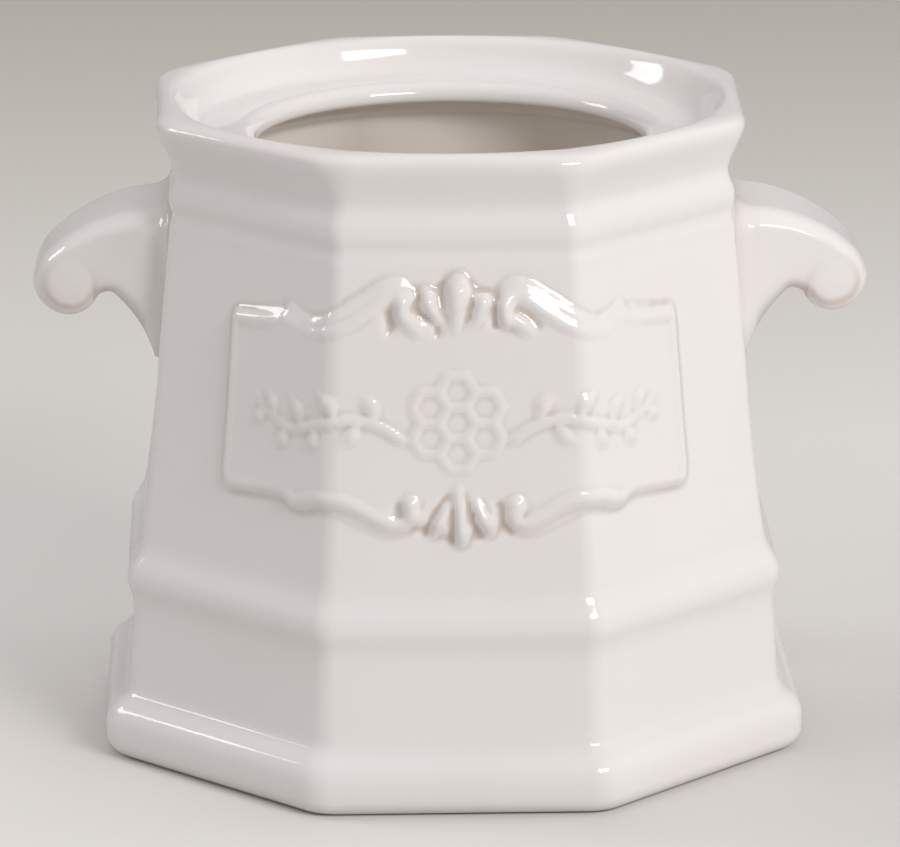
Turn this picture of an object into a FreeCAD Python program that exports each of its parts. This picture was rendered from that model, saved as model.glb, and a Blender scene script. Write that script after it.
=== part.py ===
import FreeCAD, Part
import math
import os
import re
import Sketcher

# A slip-cast honey pot: an eight-sided glazed body with a moulded foot, ridge, collar and rim,
# a round lid seat and mouth, a scroll lug on each side and a raised cartouche on the front.
# Millimetres. +Z is up and the origin is under the centre of the foot.

NODE = "honey_pot"
# two places nearer than this are the same place
NEAR = 1e-4

# Every size that can be set by itself. Widths are half widths across two opposite flats, and a
# width or height that belongs to another piece is given as a step from that piece, so it follows.
SIZES = [
    # overall form
    ("pot_height", 100.9), ("panel_half", 43.3), ("wall", 4.5), ("floor_thickness", 5.0),
    ("corner_round", 3.0), ("tuck", 2.0),
    # foot moulding
    ("foot_proud", 3.9), ("foot_height", 12.6), ("foot_face_height", 6.6), ("foot_toe", 2.2),
    ("foot_round", 2.6), ("foot_shoulder_drop", 2.2), ("foot_shoulder_round", 4.4),
    ("foot_cove", 1.0), ("foot_cove_round", 2.6), ("foot_ring_width", 7.0), ("foot_recess", 1.5),
    # lower band
    ("band_proud", 4.4), ("band_draw", 0.9), ("band_round", 4.5),
    # ridge and the flare above it
    ("ridge_height", 28.4), ("ridge_proud", 1.0), ("ridge_under", 4.2), ("ridge_under_round", 5.0),
    ("ridge_nose", 0.2), ("ridge_nose_in", 0.3), ("ridge_shoulder", 3.8), ("ridge_round", 3.6),
    ("flare_step", 2.0), ("flare_cove_round", 7.5), ("flare_rise", 4.6), ("flare_proud", 2.7),
    ("flare_length", 25.2), ("flare_round", 320.0), ("flare_sag", 0.2), ("panel_draw", 2.2),
    # collar, neck and rim, measured down from the top
    ("panel_top_drop", 16.0), ("collar_set_in", 0.7), ("collar_foot_drop", 14.7),
    ("collar_top_drop", 9.3), ("collar_round", 4.2), ("neck_set_in", 1.1), ("neck_drop", 8.6),
    ("neck_round", 15.0), ("rim_proud", 3.3), ("rim_face_drop", 2.0), ("rim_face_in", 0.1),
    ("rim_round", 2.3), ("rim_top_in", 2.1),
    # lid seat and mouth, all round
    ("rim_wall", 4.3), ("seat_lip_round", 3.0), ("seat_lip_drop", 2.0), ("seat_step", 0.7),
    ("seat_step_drop", 3.8), ("seat_taper", 0.4), ("seat_depth", 5.7), ("seat_cove", 1.0),
    ("seat_cove_round", 1.4), ("ledge_width", 10.5), ("mouth_lip_round", 2.2),
    ("mouth_lip_depth", 2.4), ("shoulder_drop", 11.2), ("cavity_round", 8.0), ("floor_round", 4.5),
    ("floor_ease", 1.3),
    # scroll lugs
    ("lug_reach", 21.9), ("lug_root_width", 27.0), ("lug_tip_width", 19.0), ("lug_top_drop", 16.2),
    ("lug_foot_drop", 45.2), ("scroll_radius", 5.5), ("scroll_drop", 28.0), ("scroll_turn", 40.0),
    ("crown_out", 2.3), ("crown_rise", 4.95), ("crown_round", 8.8), ("lug_arch_round", 26.0),
    ("notch_width", 2.7), ("notch_rise", 2.2), ("notch_round", 2.6), ("lug_under_out", 2.1), ("lug_under_round", 20.8),
    ("lug_edge_round", 2.0),
    # cartouche: half widths on the front view, heights from its own head and foot
    ("plate_proud", 1.1), ("plate_height", 28.4), ("plate_low", 0.8), ("plate_top_in", 10.1),
    ("plate_foot_in", 13.1), ("plate_ear_in", 9.0), ("plate_ear_rise", 1.1),
    ("swag_in", 3.6), ("swag_round", 14.0), ("crest_half", 9.6), ("crest_rise", 6.2),
    ("crest_peak_rise", 1.6), ("crest_round", 30.0), ("apron_half", 10.0), ("apron_drop", 3.2),
    ("apron_peak_drop", 1.6), ("roll_proud", 1.9), ("roll_width", 2.6), ("curl_proud", 2.1),
    ("curl_radius", 2.8), ("curl_across", 9.0), ("curl_drop", 4.2), ("palmette_proud", 2.3),
    ("palmette_height", 7.6), ("palmette_half", 5.6), ("lobe_half", 2.0), ("lobe_notch", 1.6),
    ("lobe_fall", 4.6), ("lobe_round", 2.6), ("leaf_round", 9.0), ("lobe_over", 0.4),
]

doc = FreeCAD.newDocument(NODE)
sheet = doc.addObject("Spreadsheet::Sheet", "sizes")
for row, (alias, size) in enumerate(SIZES, start=1):
    sheet.set(f"A{row}", alias)
    sheet.set(f"B{row}", str(size))
    sheet.setAlias(f"B{row}", alias)
doc.recompute()


def bound(expression):
    """The expression with every size name pointed at the sheet."""
    names = "|".join(alias for alias, _ in SIZES)
    return re.sub(rf"\b({names})\b", r"<<sizes>>.\1", expression)


def value(expression):
    """The number that an expression gives now."""
    number = sheet.evalExpression(bound(expression))
    return float(getattr(number, "Value", number))


def origin_plane(body, role):
    return next(part for part in body.Origin.OriginFeatures if part.Role == role)


def new_sketch(body, name, role, height="0"):
    """A sketch on one of its body's own planes, lifted along that plane's normal."""
    sketch = body.newObject("Sketcher::SketchObject", name)
    sketch.AttachmentSupport = [(origin_plane(body, role), "")]
    sketch.MapMode = "FlatFace"
    sketch.AttachmentOffset = FreeCAD.Placement(
        FreeCAD.Vector(0, 0, value(height)), FreeCAD.Rotation())
    sketch.setExpression("AttachmentOffset.Base.z", bound(height))
    return sketch


def set_length(feature, field, expression):
    """Gives a feature's size its number and ties it to the sheet."""
    setattr(feature, field, value(expression))
    feature.setExpression(field, bound(expression))
    doc.recompute()


def dimension(sketch, constraint, expression):
    """Adds a sized constraint and ties it to the sheet."""
    index = sketch.addConstraint(constraint)
    sketch.setExpression(f"Constraints[{index}]", bound(expression))


def octagon_sketch(body, name, apothem, corner, height="0"):
    """A regular octagon with rounded corners; apothem is the distance from the axis to a flat."""
    sketch = new_sketch(body, name, "XY_Plane", height)
    flat, radius = value(apothem), value(corner)
    half_turn = math.pi / 8
    centre_distance = (flat - radius) / math.cos(half_turn)
    half_side = (flat - radius) * math.tan(half_turn)
    sides, corners = [], []
    for k in range(8):
        out = FreeCAD.Vector(math.cos(2 * k * half_turn), math.sin(2 * k * half_turn), 0)
        along = FreeCAD.Vector(-out.y, out.x, 0)
        side = Part.LineSegment(out * flat - along * half_side, out * flat + along * half_side)
        sides.append(sketch.addGeometry(side))
    for k in range(8):
        angle = (2 * k + 1) * half_turn
        centre = FreeCAD.Vector(math.cos(angle), math.sin(angle), 0) * centre_distance
        circle = Part.Circle(centre, FreeCAD.Vector(0, 0, 1), radius)
        arc = Part.ArcOfCircle(circle, angle - half_turn, angle + half_turn)
        corners.append(sketch.addGeometry(arc))
    guide = sketch.addGeometry(
        Part.Circle(FreeCAD.Vector(), FreeCAD.Vector(0, 0, 1), centre_distance), True)
    sketch.addConstraint(Sketcher.Constraint("Coincident", guide, 3, -1, 1))
    for k in range(8):
        sketch.addConstraint(Sketcher.Constraint("Tangent", sides[k], 2, corners[k], 1))
        sketch.addConstraint(Sketcher.Constraint("Tangent", corners[k], 2, sides[(k + 1) % 8], 1))
        sketch.addConstraint(Sketcher.Constraint("PointOnObject", corners[k], 3, guide))
    for k in range(1, 8):
        sketch.addConstraint(Sketcher.Constraint("Equal", corners[0], corners[k]))
        sketch.addConstraint(Sketcher.Constraint("Equal", sides[0], sides[k]))
    sketch.addConstraint(Sketcher.Constraint("Vertical", sides[0]))
    dimension(sketch, Sketcher.Constraint("Radius", corners[0], radius), corner)
    dimension(sketch, Sketcher.Constraint("DistanceX", -1, 1, sides[0], 2, flat), apothem)
    return sketch


def bulge_arc(start, end, radius):
    """An arc from start to end; a positive radius swells to the right of the way, a negative to the left."""
    chord = end - start
    middle = (start + end) * 0.5
    reach = abs(radius)
    swell = reach - math.sqrt(reach * reach - chord.Length * chord.Length / 4)
    right = FreeCAD.Vector(chord.y, -chord.x, 0).normalize()
    return Part.Arc(start, middle + right * math.copysign(swell, radius), end)


def outline_sketch(body, name, corners, role="XZ_Plane", height="0"):
    """A closed outline through corners (across, up, radius of the arc that follows or None)."""
    sketch = new_sketch(body, name, role, height)
    spots = [FreeCAD.Vector(value(across), value(up), 0) for across, up, _ in corners]
    pieces = []
    for k, (_, _, radius) in enumerate(corners):
        start, end = spots[k], spots[(k + 1) % len(spots)]
        piece = bulge_arc(start, end, value(radius)) if radius else Part.LineSegment(start, end)
        pieces.append(sketch.addGeometry(piece))
    # a sketched arc runs anticlockwise, so its own start may be at either corner
    ends = []
    for k, piece in enumerate(pieces):
        begins = (sketch.getPoint(piece, 1) - spots[k]).Length < 1e-6
        ends.append((1, 2) if begins else (2, 1))
    for k, piece in enumerate(pieces):
        after = (k + 1) % len(pieces)
        sketch.addConstraint(Sketcher.Constraint(
            "Coincident", piece, ends[k][1], pieces[after], ends[after][0]))
    for k, (across, up, radius) in enumerate(corners):
        if abs(spots[k].x) < 1e-9:
            sketch.addConstraint(Sketcher.Constraint("PointOnObject", pieces[k], ends[k][0], -2))
        else:
            dimension(sketch, Sketcher.Constraint(
                "DistanceX", -1, 1, pieces[k], ends[k][0], spots[k].x), across)
        if abs(spots[k].y) < 1e-9:
            sketch.addConstraint(Sketcher.Constraint("PointOnObject", pieces[k], ends[k][0], -1))
        else:
            dimension(sketch, Sketcher.Constraint(
                "DistanceY", -1, 1, pieces[k], ends[k][0], spots[k].y), up)
        if radius:
            size = abs(value(radius))
            dimension(sketch, Sketcher.Constraint("Radius", pieces[k], size), f"abs({radius})")
    return sketch


def course(body, name, stations):
    """One straight-sided length of the body: a ruled loft through octagons (apothem, corner, height)."""
    rings = [octagon_sketch(body, f"{name}_ring_{k}", *station) for k, station in enumerate(stations)]
    loft = body.newObject("PartDesign::AdditiveLoft", name)
    loft.Profile = rings[0]
    loft.Sections = rings[1:]
    loft.Ruled = True
    doc.recompute()
    return loft


def moulding(body, name, root, corner, profile):
    """A profile swept round the octagon that its root stands on."""
    path = octagon_sketch(body, f"{name}_path", root, corner)
    section = outline_sketch(body, f"{name}_profile", profile)
    sweep = body.newObject("PartDesign::AdditivePipe", name)
    sweep.Profile = section
    sweep.Spine = (path, [])
    doc.recompute()
    return sweep


# half widths across the flats, each a named step from the piece beside it
PANEL_TOP = "panel_half"
PANEL_FOOT = f"({PANEL_TOP} + panel_draw)"
FLARE = f"({PANEL_FOOT} + flare_proud)"
BAND_TOP = f"({PANEL_FOOT} + band_proud)"
BAND_FOOT = f"({BAND_TOP} + band_draw)"
RIDGE = f"({BAND_TOP} + ridge_proud)"
FOOT = f"({BAND_FOOT} + foot_proud)"
COLLAR = f"({PANEL_TOP} - collar_set_in)"
NECK = f"({PANEL_TOP} - neck_set_in)"
RIM = f"({NECK} + rim_proud)"
SEAT = f"({RIM} - rim_wall)"
MOUTH = f"({SEAT} - ledge_width)"
LUG_TIP = f"({PANEL_TOP} + lug_reach)"
# half widths of the cartouche on the front view, each in from the piece that carries it
PLATE_TOP_HALF = f"({PANEL_TOP} - plate_top_in)"
PLATE_FOOT_HALF = f"({FLARE} - plate_foot_in)"
EAR_HALF = f"({PLATE_TOP_HALF} - plate_ear_in)"
SWAG_HALF = f"({EAR_HALF} - swag_in)"
# heights above the ground
FLARE_HEIGHT = "(ridge_height + ridge_shoulder + flare_rise)"
FLARE_END = f"({FLARE_HEIGHT} + flare_length)"
PANEL_HEIGHT = "(pot_height - panel_top_drop)"
COLLAR_BASE = "(pot_height - collar_foot_drop)"
COLLAR_HEIGHT = "(pot_height - collar_top_drop)"
LEDGE = "(pot_height - seat_depth)"
PLATE_TOP = f"(({FLARE_HEIGHT} + {PANEL_HEIGHT} + plate_height) / 2 - plate_low)"
PLATE_FOOT = f"({PLATE_TOP} - plate_height)"


def add_courses(body):
    """The plain straight-sided lengths that the mouldings stand on."""
    course(body, "lower_band", [
        (BAND_FOOT, "band_round", "0"),
        (BAND_TOP, "band_round", "ridge_height")])
    course(body, "panel", [
        (PANEL_FOOT, "corner_round", "ridge_height - tuck"),
        (PANEL_FOOT, "corner_round", FLARE_END),
        (PANEL_TOP, "corner_round", PANEL_HEIGHT)])
    course(body, "collar_seat", [
        (COLLAR, "corner_round", f"{PANEL_HEIGHT} - tuck"),
        (COLLAR, "corner_round", COLLAR_BASE),
        (NECK, "corner_round", COLLAR_HEIGHT)])
    course(body, "neck", [
        (NECK, "corner_round", PANEL_HEIGHT),
        (NECK, "corner_round", "pot_height")])


def add_mouldings(body):
    """Foot, ridge with its flare, collar bead and rim."""
    moulding(body, "foot", BAND_FOOT, "band_round", [
        (f"{BAND_FOOT} - tuck", "0", None),
        (f"{FOOT} - foot_toe", "0", "foot_round"),
        (FOOT, "foot_toe", None),
        (FOOT, "foot_face_height", "foot_shoulder_round"),
        (f"{BAND_FOOT} + foot_cove", "foot_height - foot_shoulder_drop", "-foot_cove_round"),
        (f"{BAND_FOOT} - band_draw * foot_height / ridge_height", "foot_height", None),
        (f"{BAND_FOOT} - tuck", "foot_height", None)])
    moulding(body, "ridge", PANEL_FOOT, "corner_round", [
        (f"{PANEL_FOOT} - tuck", "ridge_height - ridge_under", None),
        (BAND_TOP, "ridge_height - ridge_under", "-ridge_under_round"),
        (f"{RIDGE} - ridge_nose_in", "ridge_height - ridge_nose", "ridge_round"),
        (f"{RIDGE} - flare_step", "ridge_height + ridge_shoulder", "-flare_cove_round"),
        (FLARE, FLARE_HEIGHT, "-flare_round"),
        (PANEL_FOOT, FLARE_END, None),
        (f"{PANEL_FOOT} - tuck", FLARE_END, None)])
    moulding(body, "collar", COLLAR, "corner_round", [
        (f"{COLLAR} - tuck", COLLAR_BASE, None),
        (COLLAR, COLLAR_BASE, "collar_round"),
        (NECK, COLLAR_HEIGHT, None),
        (f"{COLLAR} - tuck", COLLAR_HEIGHT, None)])
    neck_height = "pot_height - neck_drop"
    moulding(body, "rim", NECK, "corner_round", [
        (f"{NECK} - tuck", neck_height, None),
        (NECK, neck_height, "-neck_round"),
        (f"{RIM} - rim_face_in", "pot_height - rim_face_drop", "rim_round"),
        (f"{RIM} - rim_top_in", "pot_height", None),
        (f"{NECK} - tuck", "pot_height", None)])


def make_outer():
    """The outside of the pot, solid to the axis."""
    body = doc.addObject("PartDesign::Body", "outer_form")
    add_courses(body)
    add_mouldings(body)
    return body


def make_cavity():
    """The inside: an eight-sided chamber, a round shoulder, the mouth and the lid seat."""
    body = doc.addObject("PartDesign::Body", "cavity")
    course(body, "chamber", [
        (f"{BAND_FOOT} - wall - floor_round", "cavity_round", "floor_thickness"),
        (f"{BAND_FOOT} - wall - floor_ease", "cavity_round", "floor_thickness + floor_ease"),
        (f"{BAND_FOOT} - wall", "cavity_round", "floor_thickness + floor_round"),
        (f"{BAND_TOP} - wall", "cavity_round", "ridge_height"),
        (f"{FLARE} - wall", "cavity_round", FLARE_HEIGHT),
        (f"{PANEL_FOOT} - wall", "cavity_round", FLARE_END),
        (f"{PANEL_TOP} - wall", "cavity_round", f"{PANEL_HEIGHT} - wall / 2")])
    above = "pot_height + tuck"
    seat_foot = f"{SEAT} - 2 * seat_taper - seat_step"
    shoulder_foot = f"{LEDGE} - mouth_lip_depth - shoulder_drop"
    section = outline_sketch(body, "seat_and_mouth_profile", [
        ("0", above, None),
        (f"{SEAT} + seat_lip_drop", above, None),
        (f"{SEAT} + seat_lip_drop", "pot_height", "seat_lip_round"),
        (SEAT, "pot_height - seat_lip_drop", None),
        (f"{SEAT} - seat_taper", "pot_height - seat_step_drop", None),
        (f"{SEAT} - seat_taper - seat_step", "pot_height - seat_step_drop - seat_step", None),
        (seat_foot, f"{LEDGE} + seat_cove", "-seat_cove_round"),
        (f"{seat_foot} - seat_cove", LEDGE, None),
        (f"{MOUTH} + mouth_lip_round", LEDGE, "mouth_lip_round"),
        (MOUTH, f"{LEDGE} - mouth_lip_round", None),
        (MOUTH, f"{LEDGE} - mouth_lip_depth", None),
        (f"{PANEL_TOP} - wall - cavity_round / 4", shoulder_foot, None),
        ("0", shoulder_foot, None)])
    turning = body.newObject("PartDesign::Revolution", "seat_and_mouth")
    turning.Profile = section
    turning.ReferenceAxis = (section, ["V_Axis"])
    turning.Angle = 360
    doc.recompute()
    return body


def make_foot_recess():
    """The shallow hollow inside the standing ring."""
    body = doc.addObject("PartDesign::Body", "foot_recess")
    reach = f"{FOOT} - foot_toe - foot_ring_width"
    course(body, "recess", [
        (reach, "cavity_round", "-tuck"),
        (reach, "cavity_round", "foot_recess")])
    return body


def make_lug():
    """One scroll lug on the +X side, narrowing from its root to the rolled tip."""
    body = doc.addObject("PartDesign::Body", "lug")
    root = f"{PANEL_TOP} - wall / 2"
    centre = f"{LUG_TIP} - scroll_radius"
    scroll = "(pot_height - scroll_drop)"
    roll_across = f"{centre} - scroll_radius * cos(scroll_turn)"
    roll_up = f"{scroll} - scroll_radius * sin(scroll_turn)"
    side = outline_sketch(body, "lug_side", [
        (root, "pot_height - lug_foot_drop", None),
        (f"{PANEL_TOP} + lug_under_out", "pot_height - lug_foot_drop", "-lug_under_round"),
        (f"{roll_across} - notch_width", f"{roll_up} + notch_rise", "-notch_round"),
        (roll_across, roll_up, "scroll_radius"),
        (centre, f"{scroll} - scroll_radius", "scroll_radius"),
        (LUG_TIP, scroll, "crown_round"),
        (f"{centre} + crown_out", f"{scroll} + crown_rise", "lug_arch_round"),
        (root, "pot_height - lug_top_drop", None)])
    pad = body.newObject("PartDesign::Pad", "lug_block")
    pad.Profile = side
    pad.Midplane = True
    set_length(pad, "Length", "lug_root_width")
    before = pad.Shape.Volume
    taper = outline_sketch(body, "lug_taper", [
        (root, "lug_root_width / 2", None),
        (f"{LUG_TIP} + tuck", "lug_tip_width / 2", None),
        (f"{LUG_TIP} + tuck", "lug_root_width / 2 + tuck", None),
        (root, "lug_root_width / 2 + tuck", None)], role="XY_Plane")
    trim = body.newObject("PartDesign::Pocket", "lug_trim")
    trim.Profile = taper
    trim.Midplane = True
    set_length(trim, "Length", "2 * pot_height + 2 * tuck")
    both = body.newObject("PartDesign::Mirrored", "lug_trim_both")
    both.Originals = [trim]
    both.MirrorPlane = (origin_plane(body, "XZ_Plane"), [""])
    body.Tip = both
    doc.recompute()
    if not both.Shape.Volume < trim.Shape.Volume < before:
        raise ValueError("the lug's sides were not tapered")
    rounding = body.newObject("PartDesign::Fillet", "lug_edge")
    rounding.Base = (both, lug_rim_edges(both.Shape))
    set_length(rounding, "Radius", "lug_edge_round")
    return body


def lug_rim_edges(shape):
    """The edges round both tapered sides, but not the upright ones where the lug ends inside the wall."""
    names = []
    for k, edge in enumerate(shape.Edges, start=1):
        ends = [vertex.Point for vertex in edge.Vertexes]
        one_side = ends[0].y * ends[-1].y > 0
        upright = abs(ends[0].x - ends[-1].x) < NEAR
        if one_side and not upright:
            names.append(f"Edge{k}")
    return names


def mirrored_outline(half):
    """A right-hand outline from the middle back to the middle, closed with its own mirror image."""
    left = []
    for k in range(len(half) - 2, 0, -1):
        across, up, _ = half[k]
        left.append((f"-({across})", up, half[k][2]))
    closed = [(across, up, radius) for across, up, radius in half]
    # travelling back up the left side, each arc follows the corner that it ended at on the right
    arcs = [radius for _, _, radius in half[:-1]][::-1]
    closed[-1] = (half[-1][0], half[-1][1], arcs[0])
    for k, (across, up, _) in enumerate(left):
        closed.append((across, up, arcs[k + 1]))
    return closed


def raised(name, proud, corners):
    """A low relief on the front: the panel grown by its height, cut to an outline."""
    grown = doc.addObject("PartDesign::Body", f"{name}_skin")
    corner = f"corner_round + {proud}"
    course(grown, f"{name}_course", [
        (f"{FLARE} + {proud}", corner, FLARE_HEIGHT),
        (f"({FLARE} + {PANEL_FOOT}) / 2 - flare_sag + {proud}", corner,
         f"{FLARE_HEIGHT} + flare_length / 2"),
        (f"{PANEL_FOOT} + {proud}", corner, FLARE_END),
        (f"{PANEL_TOP} + {proud}", corner, PANEL_HEIGHT)])
    cutter = doc.addObject("PartDesign::Body", f"{name}_cutter")
    outline = outline_sketch(cutter, f"{name}_outline", corners)
    pad = cutter.newObject("PartDesign::Pad", f"{name}_pad")
    pad.Profile = outline
    set_length(pad, "Length", f"2 * {FOOT}")
    relief = doc.addObject("Part::MultiCommon", name)
    relief.Shapes = [grown, cutter]
    doc.recompute()
    return relief


def mirrored(name, source):
    """The same form on the other side of the middle."""
    other = doc.addObject("Part::Mirroring", name)
    other.Source = source
    other.Normal = FreeCAD.Vector(1, 0, 0)
    return other


def pair(name, right):
    """A form on the right of the middle and its twin on the left."""
    return [right, mirrored(f"{name}_left", right)]


def roll_along(name, start, end, shift):
    """A roll between a swag of the plate's edge and the same swag moved up or down."""
    return pair(name, raised(name, "roll_proud", [
        (*start, "swag_round"),
        (*end, None),
        (end[0], f"{end[1]} {shift}", "-swag_round"),
        (start[0], f"{start[1]} {shift}", None)]))


def curl_at(name, across, up):
    """The round end of a roll."""
    return pair(name, raised(name, "curl_proud", [
        (f"{across} + curl_radius", up, "curl_radius"),
        (across, f"{up} + curl_radius", "curl_radius"),
        (f"{across} - curl_radius", up, "curl_radius"),
        (across, f"{up} - curl_radius", "curl_radius")]))


def palmette(name, tip, way, turn):
    """A fan of lobes back from its tip; way is the sign of up or down, and turn that of its arcs."""
    return raised(name, "palmette_proud", mirrored_outline([
        ("0", tip, f"{turn}lobe_round"),
        ("lobe_half", f"{tip} {way} lobe_notch", f"{turn}lobe_round"),
        ("palmette_half", f"{tip} {way} lobe_fall", f"{turn}leaf_round"),
        ("0", f"{tip} {way} palmette_height", None)]))


def make_cartouche():
    """The plate that wraps three facets, with a roll on each swag and a palmette at head and foot."""
    crest = f"{PLATE_TOP} + crest_rise"
    apron = f"{PLATE_FOOT} - apron_drop"
    swag_foot = f"{PLATE_FOOT} + plate_ear_rise"
    plate = raised("plate", "plate_proud", mirrored_outline([
        ("0", f"{crest} + crest_peak_rise", "-crest_round"),
        ("crest_half", crest, "swag_round"),
        (SWAG_HALF, PLATE_TOP, None),
        (EAR_HALF, PLATE_TOP, None),
        (EAR_HALF, f"{PLATE_TOP} + plate_ear_rise", None),
        (PLATE_TOP_HALF, PLATE_TOP, None),
        (PLATE_FOOT_HALF, PLATE_FOOT, None),
        (EAR_HALF, PLATE_FOOT, None),
        (EAR_HALF, swag_foot, None),
        (SWAG_HALF, swag_foot, "swag_round"),
        ("apron_half", apron, "-crest_round"),
        ("0", f"{apron} - apron_peak_drop", None)]))
    pieces = [plate]
    pieces += roll_along("crest_roll", ("crest_half", crest), (SWAG_HALF, PLATE_TOP), "- roll_width")
    pieces += roll_along("apron_roll", (SWAG_HALF, swag_foot), ("apron_half", apron), "+ roll_width")
    pieces += curl_at("crest_curl", "curl_across", f"{crest} - curl_drop")
    pieces.append(palmette("crest_palmette", f"({crest} + crest_peak_rise + lobe_over)", "-", "-"))
    pieces.append(palmette("apron_palmette", f"({apron} - apron_peak_drop - lobe_over)", "+", ""))
    return pieces


def assemble():
    outer = make_outer()
    lug = make_lug()
    raw = doc.addObject("Part::MultiFuse", "raw_form")
    raw.Shapes = [outer, lug, mirrored("other_lug", lug)] + make_cartouche()
    doc.recompute()
    hollow = doc.addObject("Part::MultiFuse", "hollow")
    hollow.Shapes = [make_cavity(), make_foot_recess()]
    pot = doc.addObject("Part::Cut", NODE)
    pot.Base = raw
    pot.Tool = hollow
    pot.Label = NODE
    doc.recompute()
    return pot


def check(pot):
    for thing in doc.Objects:
        faults = [state for state in thing.State if state in ("Invalid", "Error")]
        if faults:
            raise ValueError(f"{thing.Label} is {faults}")
    if pot.Shape.isNull() or not pot.Shape.isValid() or len(pot.Shape.Solids) != 1:
        raise ValueError(f"{pot.Label} is not one valid solid")


POT = assemble()
check(POT)
os.makedirs("parts", exist_ok=True)
POT.Shape.exportStep(f"parts/{POT.Label}.step")
box = POT.Shape.optimalBoundingBox()
print(f"{POT.Label}: {box.XLength:.2f} x {box.YLength:.2f} x {box.ZLength:.2f} mm,"
      f" {POT.Shape.Volume / 1000:.1f} cm3, {len(POT.Shape.Faces)} faces")
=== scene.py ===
import math

import bmesh
import bpy
import numpy as np
from mathutils import Matrix, Vector


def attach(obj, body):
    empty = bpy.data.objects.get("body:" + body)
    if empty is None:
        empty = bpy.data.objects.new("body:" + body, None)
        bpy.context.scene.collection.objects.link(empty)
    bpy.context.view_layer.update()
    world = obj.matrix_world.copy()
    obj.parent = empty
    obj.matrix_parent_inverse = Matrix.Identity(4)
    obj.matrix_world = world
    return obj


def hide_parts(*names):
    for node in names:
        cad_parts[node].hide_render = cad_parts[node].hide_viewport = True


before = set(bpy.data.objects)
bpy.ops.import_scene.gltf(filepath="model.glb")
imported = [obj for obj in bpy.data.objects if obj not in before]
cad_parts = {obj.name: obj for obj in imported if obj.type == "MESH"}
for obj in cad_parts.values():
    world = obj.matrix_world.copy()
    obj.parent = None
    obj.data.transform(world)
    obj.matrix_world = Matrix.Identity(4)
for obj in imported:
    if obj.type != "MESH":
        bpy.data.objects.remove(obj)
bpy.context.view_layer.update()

# An eight-sided honey pot in thick white glaze. Lengths are in millimetres until a mesh is made.
MM = 0.001
NODE = "honey_pot"
SECTOR = math.radians(45)
HALF = SECTOR / 2
FRONT_SECTOR = 6


# ---------------------------------------------------------------- curves

def bow(start, end, radius, steps=12):
    """Points from start to end; a positive radius swells to the right of the way."""
    start, end = np.array(start, float), np.array(end, float)
    share = np.linspace(0, 1, steps + 1)[1:, None]
    if radius is None:
        return start + (end - start) * share
    chord = end - start
    half = np.hypot(*chord) / 2
    sign = math.copysign(1, radius)
    deep = math.sqrt(radius * radius - half * half)
    right = np.array([chord[1], -chord[0]]) / (2 * half)
    centre = (start + end) / 2 - right * deep * sign
    spread = math.asin(half / abs(radius))
    turn = np.linspace(-spread, spread, steps + 1)[1:, None]
    along = chord / (2 * half)
    return centre + abs(radius) * (right * sign * np.cos(turn) + along * np.sin(turn))


def travelled(path):
    """The distance of each point along a path."""
    return np.concatenate([[0], np.cumsum(np.hypot(*np.diff(path[:, :2], axis=0).T))])


def evenly(points, step):
    """The same path with points a step apart, and the distance of each along it."""
    points = np.array(points, float)
    reach = travelled(points)
    places = np.linspace(0, reach[-1], max(2, int(reach[-1] / step)))
    return np.stack([np.interp(places, reach, column) for column in points.T], 1), places


def soften(values, spread):
    """A running average with bell-shaped weights; the two ends stay where they are."""
    reach = int(3 * spread) + 1
    bell = np.exp(-0.5 * (np.arange(-reach, reach + 1) / spread) ** 2)
    bell /= bell.sum()
    padded = np.concatenate([
        2 * values[0] - values[reach:0:-1], values, 2 * values[-1] - values[-2:-reach - 2:-1]])
    return np.convolve(padded, bell, "valid")


def flowing(points, count=24):
    """A smooth path through a few points."""
    points = np.array(points, float)
    before = np.vstack([2 * points[0] - points[1], points, 2 * points[-1] - points[-2]])
    path = []
    for k in range(1, len(before) - 2):
        a, b, c, d = before[k - 1:k + 3]
        t = np.linspace(0, 1, count, endpoint=False)[:, None]
        path.append(0.5 * (2 * b + (c - a) * t + (2 * a - 5 * b + 4 * c - d) * t ** 2
                           + (3 * b - a - 3 * c + d) * t ** 3))
    return np.vstack(path + [points[-1:]])


# ---------------------------------------------------------------- the pot's upright profile

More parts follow.
